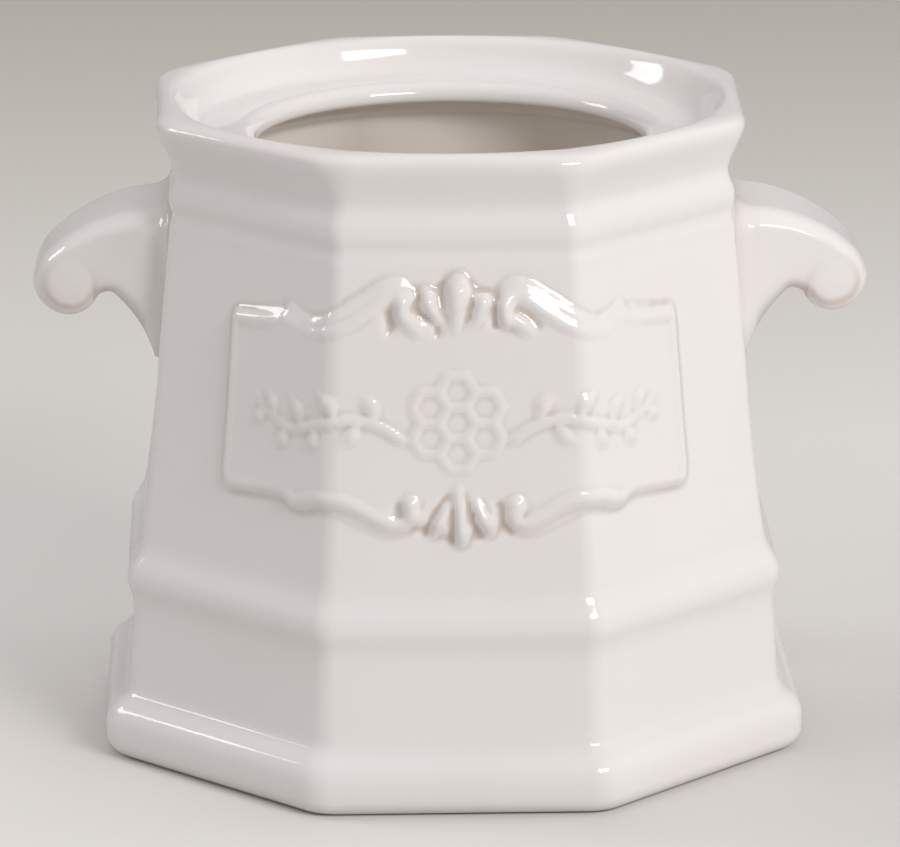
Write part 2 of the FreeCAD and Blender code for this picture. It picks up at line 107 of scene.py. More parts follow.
# from the axis to a flat, height, corner radius, how round (0 eight-sided, 1 round), and the radius
# of the arc to the next row (positive swells, negative is hollow, None is straight)
PROFILE = [
    (0.0, 1.5, 8.0, 0, None),
    (44.6, 1.5, 8.0, 0, None),
    (45.6, 0.0, 7.5, 0, None),
    (52.0, 0.0, 6.6, 0, 3.2),
    (54.6, 3.4, 6.4, 0, None),
    (54.6, 5.4, 6.2, 0, 4.6),
    (52.1, 9.2, 5.4, 0, -2.6),
    (50.75, 11.4, 4.8, 0, None),
    (50.1, 22.0, 4.6, 0, -12.0),
    (50.35, 26.0, 4.6, 0, 5.0),
    (49.9, 31.4, 4.4, 0, -9.0),
    (48.5, 34.6, 4.0, 0, -330.0),
    (45.5, 62.0, 3.2, 0, None),
    (43.45, 84.2, 3.0, 0, -3.0),
    (43.1, 86.2, 3.0, 0, 4.6),
    (42.8, 91.0, 3.2, 0, -3.0),
    (42.9, 93.6, 3.8, 0, -24.0),
    (44.6, 97.2, 7.0, 0, 9.0),
    (45.3, 99.1, 10.5, 0, 1.9),
    (43.9, 100.8, 13.0, 0, None),
    (43.3, 100.95, 13.0, 0.5, None),
    (42.8, 100.9, 13.0, 1, 3.6),
    (41.3, 98.4, 6.6, 1, None),
    (40.5, 96.9, 6.6, 1, None),
    (40.0, 96.2, 6.6, 1, -1.8),
    (38.6, 95.4, 6.6, 1, None),
    (34.6, 95.6, 6.6, 1, None),
    (32.6, 95.8, 6.6, 1, 2.6),
    (30.3, 94.2, 6.6, 1, None),
    (30.2, 93.4, 6.6, 1, 0.7),
    (31.0, 92.5, 6.6, 1, None),
    (34.4, 91.9, 8.0, 1, 3.4),
    (36.8, 89.4, 8.0, 0.9, None),
    (38.8, 80.0, 8.0, 0, None),
    (41.0, 62.0, 8.0, 0, None),
    (43.9, 36.8, 8.0, 0, None),
    (45.5, 28.4, 8.0, 0, None),
    (46.3, 9.5, 8.0, 0, -4.5),
    (41.8, 5.0, 8.0, 0, None),
    (0.0, 5.0, 8.0, 0, None),
]
CARVED = (38.5, 84.5)          # heights between which the front is finely divided
FINE = 0.48
GLAZE_FLOW = 0.46              # how far the glaze rounds each edge
CARVING_FLOW = 0.42            # and each stroke of the carving
CORNER_FLOW, ROUND_FLOW, BEND_FLOW = 1.6, 0.7, 0.25
PROFILE_STEP = 0.08
ROW_GAP, ROW_TURN = 2.4, 0.17  # rows are closer than this, in millimetres and in radians of bend
DEEP_GAP, DEEP_TURN = 6.0, 0.4     # the same where the chamber is out of sight
DEEP = 80                      # height at which that begins
ROUNDING_ROWS = 5              # added where eight sides turn into a round


def profile_rows():
    """Rows of the pot from the middle of the foot, up the outside and down into the chamber."""
    points = [PROFILE[0][:4]]
    for here, after in zip(PROFILE, PROFILE[1:]):
        arc = bow(here[:2], after[:2], here[4])
        share = np.linspace(0, 1, len(arc) + 1)[1:]
        corner = here[2] + (after[2] - here[2]) * share
        round_ = here[3] + (after[3] - here[3]) * share
        points += list(np.column_stack([arc, corner, round_]))
    rows, reach = evenly(points, PROFILE_STEP)
    for column, spread in enumerate((GLAZE_FLOW, GLAZE_FLOW, CORNER_FLOW, ROUND_FLOW)):
        rows[:, column] = soften(rows[:, column], spread / PROFILE_STEP)
    rows[:, 0] = np.maximum(rows[:, 0], 0)
    lean = np.unwrap(np.arctan2(np.gradient(rows[:, 1]), np.gradient(rows[:, 0])))
    bend = soften(np.gradient(lean, reach), BEND_FLOW / PROFILE_STEP)
    outside = reach < reach[np.argmax(rows[:, 1])]
    carved = outside & (rows[:, 1] > CARVED[0]) & (rows[:, 1] < CARVED[1])
    inside_deep = ~outside & (rows[:, 1] < DEEP)
    turning = np.abs(bend)
    rounding = np.abs(np.gradient(rows[:, 3], reach))
    wanted = 1 / ROW_GAP + turning / ROW_TURN + rounding * ROUNDING_ROWS
    wanted = np.where(carved, 1 / FINE, wanted)
    wanted = np.where(inside_deep, 1 / DEEP_GAP + turning / DEEP_TURN, wanted)
    count = np.cumsum(wanted) * (reach[1] - reach[0])
    picks = np.interp(np.linspace(0, count[-1], int(count[-1])), count, np.arange(len(reach)))
    table = np.column_stack([rows, lean, -bend, outside, reach])
    low = np.floor(picks).astype(int).clip(0, len(table) - 2)
    return table[low] + (table[low + 1] - table[low]) * (picks - low)[:, None]


# ---------------------------------------------------------------- columns round the pot

REF_FLAT, REF_CORNER = 45.1, 3.0
FLAT_HALF = (REF_FLAT - REF_CORNER) * math.tan(HALF)
CORNER_ARC = REF_CORNER * HALF
CARVED_REACH = 43.5            # how far each way from the middle of the front, along the surface
PLAIN_COLUMNS, BESIDE_COLUMNS = 12, 10     # across an uncarved flat, and beside the carving


def columns():
    """Each column's sector, place along the flat (-1 to 1) and turn round the corner."""
    table = []
    for sector in range(8):
        side = (sector - FRONT_SECTOR + 4) % 8 - 4
        away = abs(side)
        corner_steps = 6 if away <= 1 else 4
        turns = np.linspace(-HALF, 0, corner_steps, endpoint=False)
        for turn in turns:
            table.append((sector, -1.0, turn, side))
        if away == 0:
            flats = np.linspace(-1, 1, int(2 * FLAT_HALF / FINE))
        elif away == 1:
            near = CARVED_REACH - FLAT_HALF - 2 * CORNER_ARC
            fine = np.arange(0, near, FINE)
            coarse = np.linspace(near, 2 * FLAT_HALF, BESIDE_COLUMNS)
            flats = np.concatenate([fine, coarse]) / FLAT_HALF - 1
            if side < 0:
                flats = -flats[::-1]
        else:
            flats = np.linspace(-1, 1, PLAIN_COLUMNS)
        for place in flats:
            table.append((sector, place, 0.0, side))
        for turn in -turns[1:][::-1]:
            table.append((sector, 1.0, turn, side))
    return np.array(table)


def run_of(table, flat=REF_FLAT, corner=REF_CORNER):
    """Distance of each column from the middle of the front, along an octagon of this size."""
    half = (flat - corner) * math.tan(HALF)
    return table[:, 3] * 2 * (half + corner * HALF) + table[:, 1] * half + table[:, 2] * corner


# ---------------------------------------------------------------- relief of the cartouche

# right half of the plate's outline: run from the middle, height
PLATE_EDGE = [
    (0.0, 81.49), (1.8, 81.2), (3.4, 80.13), (5.2, 79.74), (7.0, 80.13), (9.0, 80.42),
    (11.0, 79.74), (13.4, 78.0), (16.2, 76.05), (18.9, 74.6), (21.8, 73.72), (24.4, 73.92),
    (26.4, 75.08), (28.0, 75.47), (29.2, 74.7), (38.4, 74.31), (39.3, 74.02), (39.7, 72.95),
    (41.9, 48.09), (41.7, 46.54), (40.8, 45.86), (29.6, 46.92), (28.2, 46.54), (27.0, 45.56),
    (25.0, 45.56), (21.8, 46.54), (18.6, 46.92), (15.6, 45.76), (13.0, 44.21), (10.6, 43.14),
    (8.2, 43.23), (6.6, 44.01), (5.4, 43.62), (3.6, 43.43), (1.8, 42.26), (0.0, 41.68),
]
PLATE_RISE = 1.05
PLATE_BEVEL = 1.5


def plate_outline():
    right = np.array(PLATE_EDGE)
    left = right[1:-1][::-1] * [-1, 1]
    ring = np.vstack([right, left])
    ring = np.vstack([ring, ring[:1]])
    even, _ = evenly(ring, 0.5)
    return even


def to_path(places, path):
    """Distance of each place from a path, and where along the path it is nearest."""
    best = np.full(len(places), 1e9)
    where = np.zeros(len(places))
    count = len(path) - 1
    for k in range(count):
        start, way = path[k], path[k + 1] - path[k]
        share = np.clip(((places - start) @ way) / max(way @ way, 1e-12), 0, 1)
        gap = np.hypot(*(places - start - share[:, None] * way).T)
        nearer = gap < best
        best = np.where(nearer, gap, best)
        where = np.where(nearer, (k + share) / count, where)
    return best, where


def inside(places, ring):
    """Whether each place lies inside a closed ring."""
    odd = np.zeros(len(places), bool)
    for a, b in zip(ring, ring[1:]):
        crosses = (a[1] > places[:, 1]) != (b[1] > places[:, 1])
        if a[1] != b[1]:
            at = a[0] + (places[:, 1] - a[1]) * (b[0] - a[0]) / (b[1] - a[1])
            odd ^= crosses & (places[:, 0] < at)
    return odd


def mirror(strokes):
    """The same strokes on the other side of the middle."""
    return [([(-x, z) for x, z in points], *rest) for points, *rest in strokes]


# a stroke: points it runs through, half widths at its start, middle and end, height or depth
def scrolls():
    """The rolls, curls and palmettes of the plate's head and foot."""
    head = [
        ([(8.2, 77.9), (7.6, 79.3), (8.8, 80.5), (10.8, 79.84), (13.6, 77.9), (16.6, 75.96),
          (19.6, 74.5), (22.4, 73.92), (25.0, 74.6), (27.2, 75.67)], (1.2, 1.9, 1.1), 0.95),
        ([(27.2, 75.0), (33.0, 73.9), (38.2, 73.2)], (1.2, 1.3, 1.1), 0.55),
        ([(38.7, 72.6), (39.9, 60.0), (41.0, 48.6)], (0.9, 0.9, 0.9), 0.4),
    ]
    foot = [
        ([(7.6, 45.8), (8.2, 44.4), (10.8, 44.1), (13.4, 45.2), (16.0, 46.7), (18.8, 47.7),
          (22.0, 47.5), (25.2, 46.6), (28.0, 47.1)], (1.3, 1.9, 1.3), 0.55),
        ([(28.0, 47.4), (34.0, 47.2), (40.6, 47.0)], (1.1, 1.1, 1.0), 0.3),
    ]
    curls = [
        ([(-8.2, 78.4), (-8.2, 76.4)], (1.2, 1.2, 1.2), 1.35),
        ([(-7.4, 75.6), (-6.0, 74.0)], (1.3, 1.2, 1.0), 0.85),
        ([(7.1, 77.8), (7.5, 75.6)], (1.2, 1.2, 1.2), 1.35),
        ([(9.2, 75.4), (10.6, 74.2)], (1.2, 1.2, 1.0), 0.8),
        ([(-7.2, 47.6), (-7.0, 45.6)], (1.3, 1.35, 1.2), 1.05),
        ([(8.7, 47.2), (8.4, 46.0)], (1.5, 1.4, 1.3), 1.05),
    ]
    lobes = [
        ([(-4.6, 79.5), (-3.9, 77.4), (-2.9, 75.0)], (1.0, 1.05, 0.5), 1.3),
        ([(0.3, 80.6), (0.1, 77.8), (-0.2, 74.0)], (1.9, 1.6, 0.6), 1.5),
        ([(4.0, 78.4), (3.4, 76.6), (2.4, 74.6)], (1.35, 1.1, 0.5), 1.2),
        ([(-1.8, 47.6), (-2.8, 45.4), (-3.7, 43.5)], (0.5, 1.0, 1.15), 1.1),
        ([(0.0, 50.0), (0.2, 46.0), (0.4, 42.0)], (0.5, 0.95, 1.05), 1.4),
        ([(2.5, 47.9), (3.6, 45.6), (4.7, 43.7)], (0.7, 1.15, 1.15), 1.35),
    ]
    return head + mirror(head) + foot + mirror(foot) + curls + lobes


def cuts():
    """The hollows between the curls and lobes, coloured as deep-lying glaze with painted shade."""
    return [
        ([(-10.2, 76.5), (-10.0, 74.1)], (0.75, 0.85, 0.75), 0.9),
        ([(-5.8, 79.2), (-6.1, 77.6), (-5.4, 76.4), (-4.2, 75.8), (-3.2, 75.0), (-2.7, 73.4)],
         (0.5, 0.5, 0.5), 0.9),
        ([(-2.4, 80.6), (-2.4, 78.0)], (0.5, 0.55, 0.4), 0.9),
        ([(2.4, 78.4), (1.7, 75.6)], (0.5, 0.5, 0.4), 0.6),
        ([(6.3, 79.3), (5.7, 77.3), (5.8, 74.6)], (0.5, 0.65, 0.5), 0.95),
        ([(9.0, 77.6), (10.8, 76.2), (12.8, 74.4)], (0.45, 0.7, 0.45), 0.8),
        ([(-9.1, 47.2), (-9.0, 45.8)], (0.9, 0.95, 0.9), 0.5),
        ([(-1.7, 48.8), (-3.6, 46.0), (-5.0, 43.3)], (0.4, 0.6, 0.6), 0.9),
        ([(-0.9, 46.4), (-1.2, 42.2)], (0.35, 0.5, 0.5), 0.7),
        ([(1.7, 47.6), (2.2, 44.8), (3.1, 42.3)], (0.35, 0.5, 0.5), 0.8),
        ([(6.2, 47.6), (6.7, 45.1), (7.9, 43.2)], (0.5, 0.6, 0.5), 0.95),
    ]


def leaf(root, tip, bend, width, height=0.75):
    """A leaf from its root to its tip, bent to one side."""
    root, tip = np.array(root, float), np.array(tip, float)
    way = tip - root
    side = np.array([-way[1], way[0]]) * bend
    middle = (root + tip) / 2 + side
    return ([tuple(root), tuple(middle), tuple(tip)], (0.15, width, 0.1), height)


def sprig():
    """Honeycomb cells in the middle of the plate with a leafy sprig running each way."""
    cell, middle, wall = 2.75, 60.0, (0.42, 0.42, 0.42)
    strokes = []
    rise = cell * math.sqrt(3)
    centres = [(0, 0), (1.5 * cell, rise / 2), (1.5 * cell, -rise / 2), (-1.5 * cell, rise / 2),
               (-1.5 * cell, -rise / 2), (0, rise), (0, -rise)]
    for across, up in centres:
        ring = [(across + cell * math.cos(math.radians(60 * k)),
                 middle + up + cell * math.sin(math.radians(60 * k))) for k in range(7)]
        strokes += [([a, b], wall, 0.62) for a, b in zip(ring, ring[1:])]
    stem = [(8.4, 57.4), (12.0, 59.6), (16.6, 60.6), (21.4, 59.2), (26.4, 58.0), (31.0, 59.4),
            (34.4, 62.2)]
    right = [(stem, (0.62, 0.6, 0.3), 0.7)]
    for place, up, long, tilt, width in (
            (12.4, 59.8, 5.4, 62, 1.25), (15.0, 60.5, 5.0, -48, 1.2), (18.2, 60.3, 5.4, 52, 1.25),
            (21.2, 59.3, 4.8, -58, 1.15), (24.2, 58.4, 5.2, 56, 1.2), (27.2, 58.1, 4.4, -44, 1.1),
            (30.0, 58.9, 4.6, 64, 1.1), (32.2, 60.2, 3.8, -36, 0.95)):
        angle = math.radians(tilt)
        tip = (place + long * math.cos(angle), up + long * math.sin(angle))
        right.append(leaf((place, up), tip, 0.16 if tilt > 0 else -0.16, width))
    return strokes + right + mirror(right)


def relief(runs, heights):
    """How far the carving stands out at each place of the front."""
    places = np.column_stack([runs, heights])
    ring = plate_outline()
    gap, _ = to_path(places, ring)
    within = np.where(inside(places, ring), gap, -gap)
    edge = np.clip(within / PLATE_BEVEL, 0, 1)
    out = PLATE_RISE * np.sin(edge * math.pi / 2)
    proud, sunk = np.zeros(len(places)), np.zeros(len(places))
    for target, strokes in ((proud, scrolls() + sprig()), (sunk, cuts())):
        for points, widths, height in strokes:
            path = flowing(points, 6) if len(points) > 2 else np.array(points, float)
            wide = max(widths)
            low, high = path.min(0) - wide, path.max(0) + wide
            near = np.all((places > low) & (places < high), 1)
            if not near.any():
                continue
            gap, where = to_path(places[near], path)
            width = np.interp(where, (0, 0.5, 1), widths)
            swell = np.sqrt(np.clip(1 - (gap / width) ** 2, 0, 1)) * np.clip(width / wide, 0.35, 1)
            target[near] = np.maximum(target[near], height * swell)
    return out + proud - sunk


# ---------------------------------------------------------------- meshes and node trees

def smoothed(values, rows, cols, spread):
    """Softens a patch of the chart both ways."""
    patch = values[np.ix_(rows, cols)]
    patch = np.apply_along_axis(soften, 0, patch, spread)
    patch = np.apply_along_axis(soften, 1, patch, spread)
    result = values.copy()
    result[np.ix_(rows, cols)] = patch
    return result


def new_mesh(name, points, faces, values=None):
    """A mesh from lists, with a number at each corner point for each name in values."""
    mesh = bpy.data.meshes.new(name)
    mesh.from_pydata([tuple(point) for point in points], [], faces)
    for label, numbers in (values or {}).items():
        attribute = mesh.attributes.new(label, "FLOAT", "POINT")
        attribute.data.foreach_set("value", np.asarray(numbers, np.float32))
    mesh.update()
    return mesh


def new_piece(name, mesh):
    piece = bpy.data.objects.new(name, mesh)
    bpy.context.scene.collection.objects.link(piece)
    return piece


class Wires:
    """Adds nodes to a tree and joins them; any value may be a number or another node's output."""

    def __init__(self, tree):
        self.tree = tree

    def node(self, kind, inputs=None, **settings):
        node = self.tree.nodes.new(kind)
        for name, setting in settings.items():
            setattr(node, name, setting)
        for key, value in (inputs or {}).items():
            self.put(node.inputs[key], value)
        return node

    def put(self, socket, value):
        if isinstance(value, bpy.types.NodeSocket):
            self.tree.links.new(value, socket)
        else:
            socket.default_value = value

    def maths(self, operation, *values):
        node = self.node("ShaderNodeMath", operation=operation)
        for socket, value in zip(node.inputs, values):
            self.put(socket, value)
        return node.outputs[0]

    def add(self, *values):
        return self.maths("ADD", *values)

    def times(self, *values):
        return self.maths("MULTIPLY", *values)

    def blend(self, share, a, b):
        """a where share is 0 and b where it is 1."""
        return self.maths("MULTIPLY_ADD", share, self.maths("SUBTRACT", b, a), a)

    def colour_mix(self, share, a, b, how="MIX"):
        node = self.node("ShaderNodeMix", data_type="RGBA", blend_type=how)
        for socket, value in ((node.inputs[0], share), (node.inputs[6], a), (node.inputs[7], b)):
            self.put(socket, value)
        return node.outputs[2]

    def ramp(self, value, stops):
        """A value carried through straight stops (place, result) that stay between 0 and 1."""
        node = self.node("ShaderNodeValToRGB", {0: value})
        ramp = node.color_ramp
        while len(ramp.elements) < len(stops):
            ramp.elements.new(0.5)
        for element, (place, level) in zip(ramp.elements, stops):
            element.position = place
            element.color = (level, level, level, 1)
        return node.outputs[0]

    def named(self, name):
        node = self.node("GeometryNodeInputNamedAttribute", {"Name": name}, data_type="FLOAT")
        return next(out for out in node.outputs if out.enabled and out.name == "Attribute")


def shape_tree(name, inputs):
    """An empty Geometry Nodes tree with named inputs."""
    tree = bpy.data.node_groups.new(name, "GeometryNodeTree")
    tree.interface.new_socket("Geometry", in_out="INPUT", socket_type="NodeSocketGeometry")
    for label, kind, value in inputs:
        socket = tree.interface.new_socket(label, in_out="INPUT", socket_type=kind)
        if value is not None:
            socket.default_value = value
    tree.interface.new_socket("Geometry", in_out="OUTPUT", socket_type="NodeSocketGeometry")
    wires = Wires(tree)
    return wires, wires.node("NodeGroupInput"), wires.node("NodeGroupOutput")


def run_tree(piece, wires, settings):
    """Runs a tree on a piece with these named inputs, and keeps the result as a plain mesh."""
    modifier = piece.modifiers.new(wires.tree.name, "NODES")
    modifier.node_group = wires.tree
    for item in wires.tree.interface.items_tree:
        if item.item_type == "SOCKET" and item.in_out == "INPUT" and item.name in settings:
            modifier[item.identifier] = settings[item.name]
    bpy.context.view_layer.update()
    graph = bpy.context.evaluated_depsgraph_get()
    result = bpy.data.meshes.new_from_object(
        piece.evaluated_get(graph), preserve_all_data_layers=True, depsgraph=graph)
    piece.modifiers.remove(modifier)
    piece.data = result
    return result


def octagon_wrap():
    """Wraps a flat chart round a rounded octagon, or round a circle where the chart says so."""
    wires, given, done = shape_tree("octagon_wrap", [
        ("Half side angle", "NodeSocketFloat", HALF),
        ("Relief", "NodeSocketFloat", 1.0),
        ("Unit", "NodeSocketFloat", MM),
        ("Glaze", "NodeSocketMaterial", None)])
    flat, height, corner, roundness = map(wires.named, ("flat", "height", "corner", "roundness"))
    place, turn, sector, bearing = map(wires.named, ("place", "turn", "sector", "bearing"))
    lean, proud = map(wires.named, ("lean", "proud"))
    core = wires.maths("SUBTRACT", flat, corner)
    half = wires.times(core, wires.maths("TANGENT", given.outputs["Half side angle"]))
    along = wires.add(wires.times(place, half), wires.times(corner, wires.maths("SINE", turn)))
    out = wires.add(core, wires.times(corner, wires.maths("COSINE", turn)))
    cosine, sine = wires.maths("COSINE", sector), wires.maths("SINE", sector)
    round_angle = wires.add(sector, bearing)
    across = wires.blend(
        roundness,
        wires.maths("SUBTRACT", wires.times(out, cosine), wires.times(along, sine)),
        wires.times(flat, wires.maths("COSINE", round_angle)))
    back = wires.blend(
        roundness,
        wires.add(wires.times(out, sine), wires.times(along, cosine)),
        wires.times(flat, wires.maths("SINE", round_angle)))
    facing = wires.add(sector, wires.blend(roundness, turn, bearing))
    lift = wires.times(proud, given.outputs["Relief"])
    level_lift = wires.times(lift, wires.maths("SINE", lean))
    spot = wires.node("ShaderNodeCombineXYZ", {
        "X": wires.add(across, wires.times(level_lift, wires.maths("COSINE", facing))),
        "Y": wires.add(back, wires.times(level_lift, wires.maths("SINE", facing))),
        "Z": wires.maths("SUBTRACT", height, wires.times(lift, wires.maths("COSINE", lean)))})
    scaled = wires.node("ShaderNodeVectorMath", {
        0: spot.outputs[0], "Scale": given.outputs["Unit"]}, operation="SCALE")
    moved = wires.node("GeometryNodeSetPosition", {
        "Geometry": given.outputs["Geometry"], "Position": scaled.outputs[0]})
    smooth = wires.node("GeometryNodeSetShadeSmooth", {"Geometry": moved.outputs[0]})
    real = wires.node("GeometryNodeRealizeInstances", {"Geometry": smooth.outputs[0]})
    glazed = wires.node("GeometryNodeSetMaterial", {
        "Geometry": real.outputs[0], "Material": given.outputs["Glaze"]})
    wires.put(done.inputs["Geometry"], glazed.outputs[0])
    return wires


FOOT_TWIST = math.radians(0.85)    # the cast's turn at the foot, fading out towards the rim
# where the rim was pulled out of true: bearing, spread, push in millimetres
PULLED = [(157, 22, 1.15), (212, 26, 0.5), (20, 24, 0.25)]


def unevenness(points):
    """The slow waves and the pulled rim of a hand-finished cast, outwards in millimetres."""
    x, y, z = points.T
    waves = (0.07 * np.sin(x / 9.0 + 0.6) * np.cos(z / 13.0 + 1.1)
             + 0.05 * np.sin(y / 7.5 - x / 16.0) * np.sin(z / 8.5 + 0.4)
             + 0.025 * np.sin((x + y) / 4.1 + 2.0) * np.cos(z / 4.7))
    bearing = np.degrees(np.arctan2(y, x)) % 360
    near_rim = np.clip((z - 84) / 14, 0, 1) * (np.hypot(x, y) > 41.6)
    for middle, spread, push in PULLED:
        gap = (bearing - middle + 180) % 360 - 180
        waves = waves + push * near_rim ** 2 * np.exp(-(gap / spread) ** 2)
    return waves


def twisted(points):
    """Turned a little about the upright axis, most at the foot."""
    angle = FOOT_TWIST * np.clip(1 - points[:, 2] / 90, 0, 1)
    cosine, sine = np.cos(angle), np.sin(angle)
    return np.column_stack([points[:, 0] * cosine - points[:, 1] * sine,
                            points[:, 0] * sine + points[:, 1] * cosine, points[:, 2]])


POOL_SHADE_REACH, POOL_SHADE_DEPTH, POOL_SHADE_START = 0.5, 0.12, 0.15    # where glaze gathers beside the carving, darkened as painted shade too
BEND_POOL_SHADE = 0.4             # and in the hollow mouldings, painted shade too
CHAMBER_START, CHAMBER_FADE = 19.0, 3.0    # from the top of the rim, along the surface
WAVES_FADE_IN, WAVES_FADE_UP = 20, 4       # no unevenness at the axis or where the foot stands


def make_pot(glaze):
    """The pot without its lugs: a chart of rows and columns, carved on the front, then wrapped."""
    rows, table = profile_rows(), columns()
    runs = run_of(table)
    row_count, col_count = len(rows), len(table)
    low, high = CARVED
    on_front = (rows[:, 6] > 0.5) & (rows[:, 1] > low) & (rows[:, 1] < high)
    front_rows = np.flatnonzero(on_front)
    front_cols = np.flatnonzero(np.abs(runs) < CARVED_REACH)
    front_cols = front_cols[np.argsort(runs[front_cols])]
    grid_run = np.array([run_of(table[front_cols], *rows[row, [0, 2]]) for row in front_rows])
    grid_height = rows[front_rows, 1:2] * np.ones((1, len(front_cols)))
    carving = relief(grid_run.ravel(), grid_height.ravel()).reshape(grid_run.shape)
    proud = np.zeros((row_count, col_count))
    proud[np.ix_(front_rows, front_cols)] = carving
    proud = smoothed(proud, front_rows, front_cols, CARVING_FLOW / FINE)
    # Painted shade with glaze pooling: the colour darkens in hollows beside the carving and in
    # hollow mouldings.
    around = smoothed(proud, front_rows, front_cols, POOL_SHADE_REACH / FINE)
    hollow = np.clip((around - proud) / POOL_SHADE_DEPTH - POOL_SHADE_START, -1, 1)
    hollow += (np.clip(-rows[:, 5] * BEND_POOL_SHADE, -1, 1) * (rows[:, 6] > 0.5))[:, None]
    top = np.argmax(rows[:, 1])
    # where the chamber's painted light begins
    beyond = np.clip((rows[:, 7] - rows[top, 7] - CHAMBER_START) / CHAMBER_FADE, 0, 1)
    each, down = np.ones((1, col_count)), np.ones((row_count, 1))
    corner = np.minimum(rows[:, 2], rows[:, 0] * 0.9)
    values = {
        "flat": rows[:, :1] * each, "height": rows[:, 1:2] * each, "corner": corner[:, None] * each,
        "roundness": rows[:, 3:4].clip(0, 1) * each, "lean": rows[:, 4:5] * each,
        "place": table[:, 1] * down, "turn": table[:, 2] * down,
        "sector": table[:, 0] * SECTOR * down, "proud": proud, "hollow": hollow,
        "within": beyond[:, None] * each,
    }
    reference = table[:, 1] * FLAT_HALF + REF_CORNER * np.sin(table[:, 2])
    depth = REF_FLAT - REF_CORNER + REF_CORNER * np.cos(table[:, 2])
    values["bearing"] = np.arctan2(reference, depth) * down
    # the first and last rows are the middle of the foot and of the floor, one point each
    middle_rows = np.arange(1, row_count - 1)
    kept = np.concatenate([[0], (middle_rows[:, None] * col_count + np.arange(col_count)).ravel(),
                           [(row_count - 1) * col_count]])
    here = 1 + np.arange((row_count - 2) * col_count).reshape(-1, col_count)
    right = np.roll(here, -1, 1)
    quads = np.stack([here[:-1], right[:-1], right[1:], here[1:]], -1).reshape(-1, 4)
    faces = [tuple(quad) for quad in quads.tolist()]
    last = len(kept) - 1
    faces += [(0, b, a) for a, b in zip(here[0].tolist(), right[0].tolist())]
    faces += [(last, a, b) for a, b in zip(here[-1].tolist(), right[-1].tolist())]
    mesh = new_mesh("pot_chart", np.zeros((len(kept), 3)), faces,
                    {name: numbers.ravel()[kept] for name, numbers in values.items()})
    piece = new_piece("pot", mesh)
    mesh = run_tree(piece, octagon_wrap(), {
        "Half side angle": HALF, "Relief": 1.0, "Unit": MM, "Glaze": glaze})
    for name in values:
        if name not in ("proud", "hollow", "within"):
            mesh.attributes.remove(mesh.attributes[name])
    spots = np.empty(3 * len(mesh.vertices), np.float32)
    mesh.vertices.foreach_get("co", spots)
    spots = spots.reshape(-1, 3)
    waves = unevenness(spots / MM) * MM
    reach = np.hypot(spots[:, 0], spots[:, 1])
    share = (np.clip(reach / (WAVES_FADE_IN * MM), 0, 1)
             * np.clip(spots[:, 2] / (WAVES_FADE_UP * MM), 0, 1))
    spots[:, :2] *= (1 + waves * share / np.maximum(reach, MM))[:, None]
    spots = twisted(spots / MM) * MM
    mesh.vertices.foreach_set("co", spots.ravel())
    mesh.update()
    return piece


# ---------------------------------------------------------------- scroll lugs

# side view as distance from the axis and height
LUG_ROOT, LUG_TIP = 43.0, 65.2
LUG_ROOT_HALF, LUG_TIP_HALF = 13.5, 9.4
SCROLL = (59.7, 72.8)          # middle of the roll, in the lug's side view
SCROLL_RADIUS = 5.5
LUG_TOP = (LUG_ROOT, 84.5)     # where the back springs from the pot
CROWN = (62.1, 78.1)           # where the arch of the back turns down into the roll
NOTCH = (52.8, 71.2)           # top of the hollow between the roll and the underside
ROLL_END = (55.5, 69.5)        # where that hollow meets the roll
UNDER_CENTRE, UNDER_RADIUS, UNDER_FOOT = (66.16, 55.3), 20.78, 60.6
# rounding of the long edges, at the root and at the roll
EDGE_ACROSS, EDGE_IN = (4.6, 4.4), (3.4, 1.9)
ABOVE_NOTCH = (59.6, 80.0)     # the place on the back that is paired with the notch
LOOP_END = 0.15                # how far short of the roll's underside the last loop stops
BLEND = 3.8                    # rounding where the lug grows out of the pot
FOOT_EASE, FOOT_FADE = 3.4, 0.4    # how the underside runs out down the pot
EYE, EYE_RADIUS, EYE_DOME = (59.5, 72.9), 3.9, 0.35
EYE_GROOVE, GROOVE_WIDTH = 0.36, 0.7
GROOVE_DEEPEST = math.radians(-70)     # bearing round the eye; the groove fades out on the far side
EYE_CLEAR = 1.2                # the eye is flattened nearer than this to the lug's edge
EYE_POOL_SHADE = 0.8                 # groove darkened: glaze pooling and painted shade
UNDER_SHADE, UNDER_SHADE_BAND, UNDER_SHADE_SPREAD = 0.95, 6, 2.2    # painted shade along the underside
OVER = 9                       # points across the back and across the belly of each loop
DOWN = 47                      # and down each of its sides
LOOPS = (40, 34, 26)           # root to notch, notch to roll, and round the roll
# The last of these darkens the lug's root towards the pot: glaze pooling and painted shade.
FLARE_STEPS, FLARE_RISE, FLARE_POOL_SHADE = 12, 0.6, 0.5
BURIED = 1.5                   # how far the root is carried into the pot's wall


def panel_flat(height):
    """Distance of the side facet from the axis at a height."""
    outer = [(z, a) for a, z, *_ in PROFILE if a > 42 and 34 < z < 92]
    heights, flats = zip(*outer)
    return np.interp(height, heights, flats)


